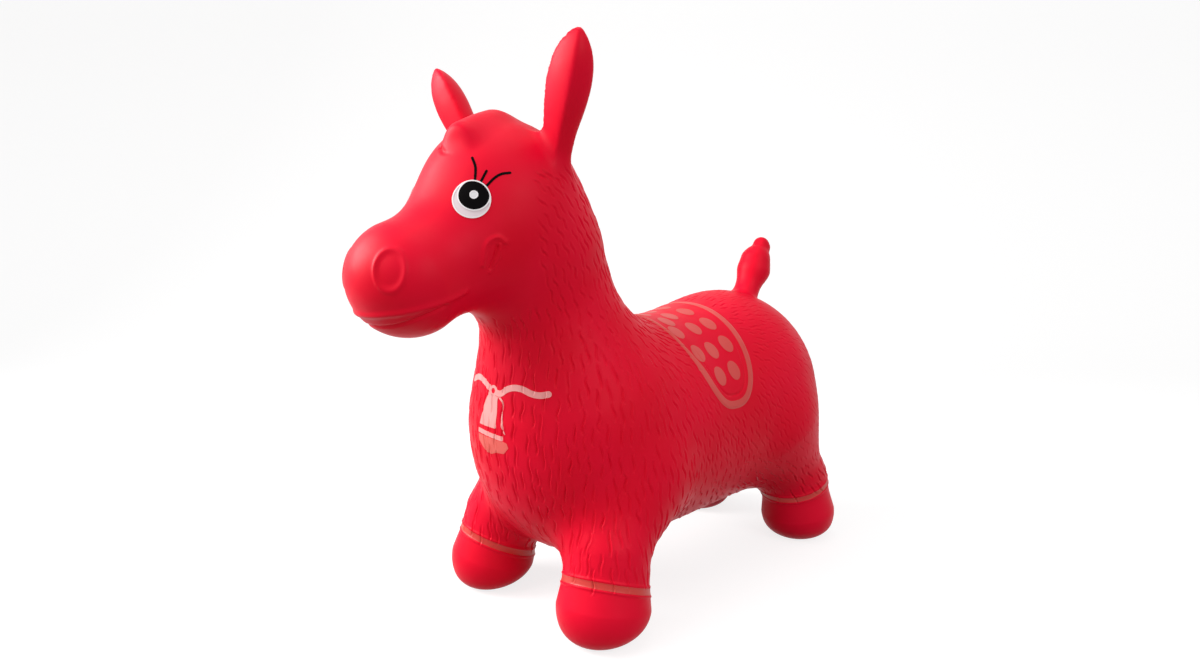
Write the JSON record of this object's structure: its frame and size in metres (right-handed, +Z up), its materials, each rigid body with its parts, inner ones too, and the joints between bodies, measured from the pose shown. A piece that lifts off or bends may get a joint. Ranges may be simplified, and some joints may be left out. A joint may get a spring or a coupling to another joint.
{
  "type": "inflatable ride-on horse",
  "caption": "Inflatable bouncing horse to sit on: round hollow body, stub legs, upright ears to hold, short tail, painted eyes, saddle outline and hoof rings.",
  "frame": {"origin": "on the floor, under the middle of the horse's box", "axes": "+Z up, -Y the way the horse faces, +X its left side"},
  "size_m": [0.241, 0.5605, 0.501],
  "materials": {
    "red_skin": "satin",
    "tan_paint": "satin",
    "peach_paint": "satin",
    "white_paint": "satin",
    "black_paint": "satin",
    "red_plastic": "satin",
    "white_plastic": "satin"
  },
  "bodies": {
    "trunk": {"trunk_skin": "red_skin", "left_hind_band": "tan_paint", "right_hind_band": "tan_paint", "valve_bush": "red_plastic", "saddle_border": "tan_paint", "chest_ribbon": "peach_paint", "chest_tassel": "peach_paint"},
    "head": {"head_skin": "red_skin", "left_eye_white": "white_paint", "left_pupil": "black_paint", "left_eye_glint": "white_paint", "right_eye_white": "white_paint", "right_pupil": "black_paint", "right_eye_glint": "white_paint"},
    "left_ear": {"left_ear": "red_skin"},
    "right_ear": {"right_ear": "red_skin"},
    "tail": {"tail": "red_skin"},
    "left_front_leg": {"left_front_hoof": "red_skin", "left_front_band": "tan_paint"},
    "right_front_leg": {"right_front_hoof": "red_skin", "right_front_band": "tan_paint"},
    "left_hind_leg": {"left_hind_hoof": "red_skin"},
    "right_hind_leg": {"right_hind_hoof": "red_skin"},
    "valve_plug": {"valve_plug": "white_plastic"}
  },
  "joints": [
    {"name": "neck_flex", "type": "hinge", "parent": "trunk", "child": "head", "pos_m": [0, -0.08065, 0.24515], "axis": [1, 0, 0], "range_deg": [-8, 8], "stiffness_Nm_per_rad": 30},
    {"name": "left_ear_flex", "type": "hinge", "parent": "head", "child": "left_ear", "pos_m": [0.05415, -0.12775, 0.42008], "axis": [1, 0, 0], "range_deg": [-22, 22], "stiffness_Nm_per_rad": 0.6},
    {"name": "right_ear_flex", "type": "hinge", "parent": "head", "child": "right_ear", "pos_m": [-0.05415, -0.12775, 0.42008], "axis": [1, 0, 0], "range_deg": [-22, 22], "stiffness_Nm_per_rad": 0.6},
    {"name": "tail_flex", "type": "hinge", "parent": "trunk", "child": "tail", "pos_m": [0, 0.21874, 0.27948], "axis": [1, 0, 0], "range_deg": [-18, 18], "stiffness_Nm_per_rad": 0.5},
    {"name": "left_front_flex", "type": "hinge", "parent": "trunk", "child": "left_front_leg", "pos_m": [0.06988, -0.07456, 0.08712], "axis": [1, 0, 0], "range_deg": [-9, 9], "stiffness_Nm_per_rad": 25},
    {"name": "right_front_flex", "type": "hinge", "parent": "trunk", "child": "right_front_leg", "pos_m": [-0.06988, -0.07456, 0.08712], "axis": [1, 0, 0], "range_deg": [-9, 9], "stiffness_Nm_per_rad": 25},
    {"name": "left_hind_flex", "type": "hinge", "parent": "trunk", "child": "left_hind_leg", "pos_m": [0.06988, 0.21456, 0.09132], "axis": [1, 0, 0], "range_deg": [-9, 9], "stiffness_Nm_per_rad": 25},
    {"name": "right_hind_flex", "type": "hinge", "parent": "trunk", "child": "right_hind_leg", "pos_m": [-0.06988, 0.21456, 0.09132], "axis": [1, 0, 0], "range_deg": [-9, 9], "stiffness_Nm_per_rad": 25},
    {"name": "plug_pull", "type": "slide", "parent": "trunk", "child": "valve_plug", "axis": [0, 0.0584, -0.9983], "range_m": [0, 0.025]}
  ]
}
